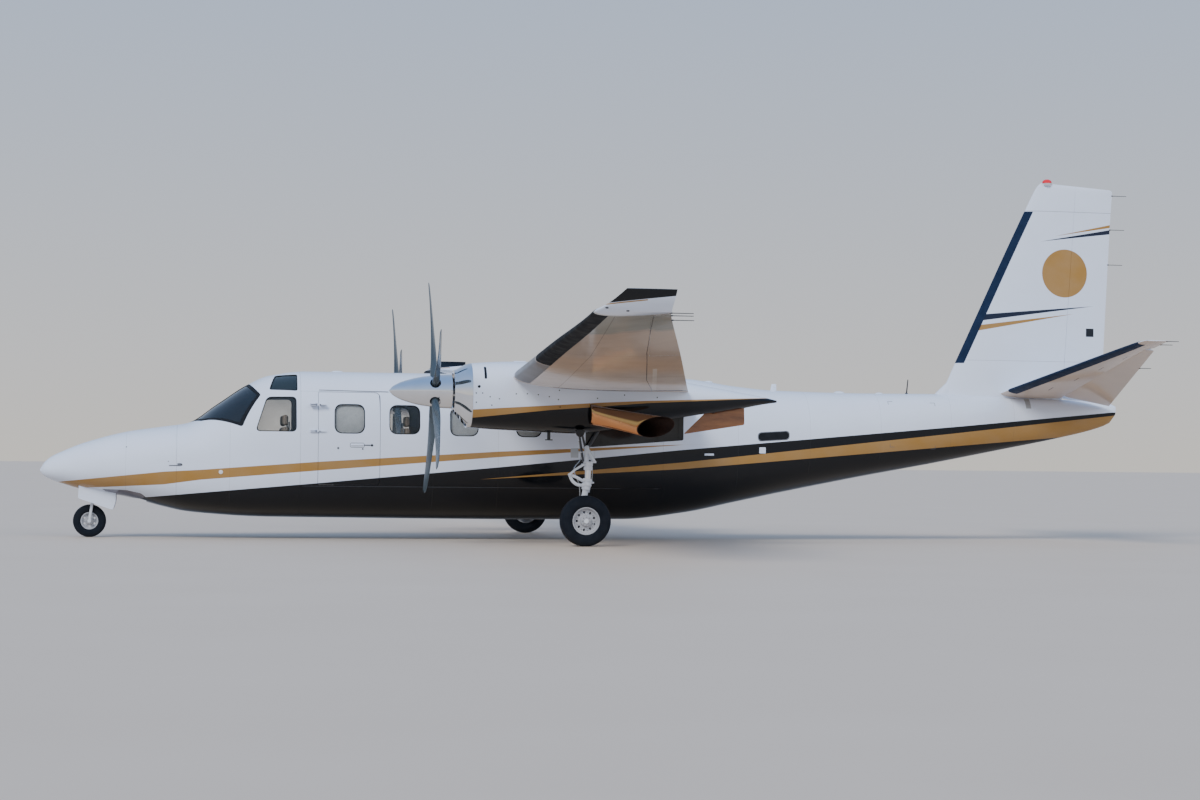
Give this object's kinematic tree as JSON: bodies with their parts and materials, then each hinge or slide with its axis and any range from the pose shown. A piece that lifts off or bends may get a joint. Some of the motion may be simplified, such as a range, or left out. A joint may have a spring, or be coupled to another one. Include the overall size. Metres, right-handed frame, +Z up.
{
  "type": "twin-engine aircraft",
  "caption": "High-wing twin turboprop light transport aircraft on retractable tricycle gear, with winglets, swept fin, a port cabin door and spinning propellers.",
  "frame": {"origin": "on the ground under the middle of the overall length and span", "axes": "+X aft along the fuselage, +Y to starboard along the span, +Z up"},
  "size_m": [13.1, 15.877, 4.464],
  "materials": {
    "white_paint": "gloss",
    "black_paint": "gloss",
    "chrome": "polished",
    "blade_metal": "satin",
    "exhaust_metal": "polished",
    "engine_metal": "matte",
    "gear_paint": "satin",
    "wheel_metal": "satin",
    "tyre_rubber": "matte",
    "window_glass": "gloss",
    "cabin_trim": "matte",
    "seat_leather": "satin",
    "panel_plastic": "matte"
  },
  "bodies": {
    "airframe": {"aileron_left": "white_paint", "aileron_right": "white_paint", "cabin_belly": "black_paint", "cabin_floor": "cabin_trim", "cabin_roof": "white_paint", "cabin_seats_left": "seat_leather", "cabin_seats_right": "seat_leather", "cabin_side_left": "white_paint", "cabin_side_right": "white_paint", "cabin_windows_left": "window_glass", "cabin_windows_right": "window_glass", "cockpit_shell": "white_paint", "cockpit_window_left": "window_glass", "cockpit_window_right": "window_glass", "crew_seats": "seat_leather", "elevator": "white_paint", "engine_left": "engine_metal", "engine_right": "engine_metal", "exhaust_left": "exhaust_metal", "exhaust_right": "exhaust_metal", "eyebrow_window_left": "window_glass", "eyebrow_window_right": "window_glass", "fin": "white_paint", "flap_left": "white_paint", "flap_right": "white_paint", "fuselage_nose": "white_paint", "fuselage_tail": "white_paint", "instrument_panel": "panel_plastic", "intake_ring_left": "chrome", "intake_ring_right": "chrome", "main_door_left": "black_paint", "main_door_right": "black_paint", "main_leg_left": "gear_paint", "main_leg_right": "gear_paint", "nacelle_left": "white_paint", "nacelle_right": "white_paint", "nose_door_left": "white_paint", "nose_door_right": "white_paint", "nose_leg": "gear_paint", "rear_bulkhead": "cabin_trim", "rudder": "white_paint", "stabiliser": "white_paint", "windshield_left": "window_glass", "windshield_right": "window_glass", "wing_centre": "white_paint", "wing_left": "white_paint", "wing_right": "white_paint"},
    "cabin_door": {"cabin_door": "white_paint", "door_window": "window_glass"},
    "propeller_left": {"propeller_left": "blade_metal", "spinner_left": "chrome"},
    "propeller_right": {"propeller_right": "blade_metal", "spinner_right": "chrome"},
    "main_wheel_left": {"tyre_left": "tyre_rubber", "rim_left": "wheel_metal"},
    "main_wheel_right": {"tyre_right": "tyre_rubber", "rim_right": "wheel_metal"},
    "nose_steering": {"nose_fork": "gear_paint"},
    "nose_wheel": {"tyre_nose": "tyre_rubber", "rim_nose": "wheel_metal"}
  },
  "joints": [
    {"name": "cabin_door_hinge", "type": "hinge", "parent": "airframe", "child": "cabin_door", "pos_m": [-3.402, -0.69, 1.17], "axis": [0, 0, -1], "range_deg": [0, 100]},
    {"name": "propeller_left_spin", "type": "hinge", "parent": "airframe", "child": "propeller_left", "pos_m": [-2.24, -2.35, 1.68], "axis": [1, 0, 0], "continuous": true},
    {"name": "propeller_right_spin", "type": "hinge", "parent": "airframe", "child": "propeller_right", "pos_m": [-2.24, 2.35, 1.68], "axis": [1, 0, 0], "continuous": true},
    {"name": "main_wheel_left_spin", "type": "hinge", "parent": "airframe", "child": "main_wheel_left", "pos_m": [-0.558, -2.35, 0.28], "axis": [0, 1, 0], "continuous": true},
    {"name": "main_wheel_right_spin", "type": "hinge", "parent": "airframe", "child": "main_wheel_right", "pos_m": [-0.558, 2.35, 0.28], "axis": [0, 1, 0], "continuous": true},
    {"name": "nose_wheel_steering", "type": "hinge", "parent": "airframe", "child": "nose_steering", "pos_m": [-5.983, 0, 0.188], "axis": [0.1367, 0, 0.9906], "range_deg": [-40, 40]},
    {"name": "nose_wheel_spin", "type": "hinge", "parent": "nose_steering", "child": "nose_wheel", "pos_m": [-5.983, 0, 0.188], "axis": [0, 1, 0], "continuous": true}
  ]
}
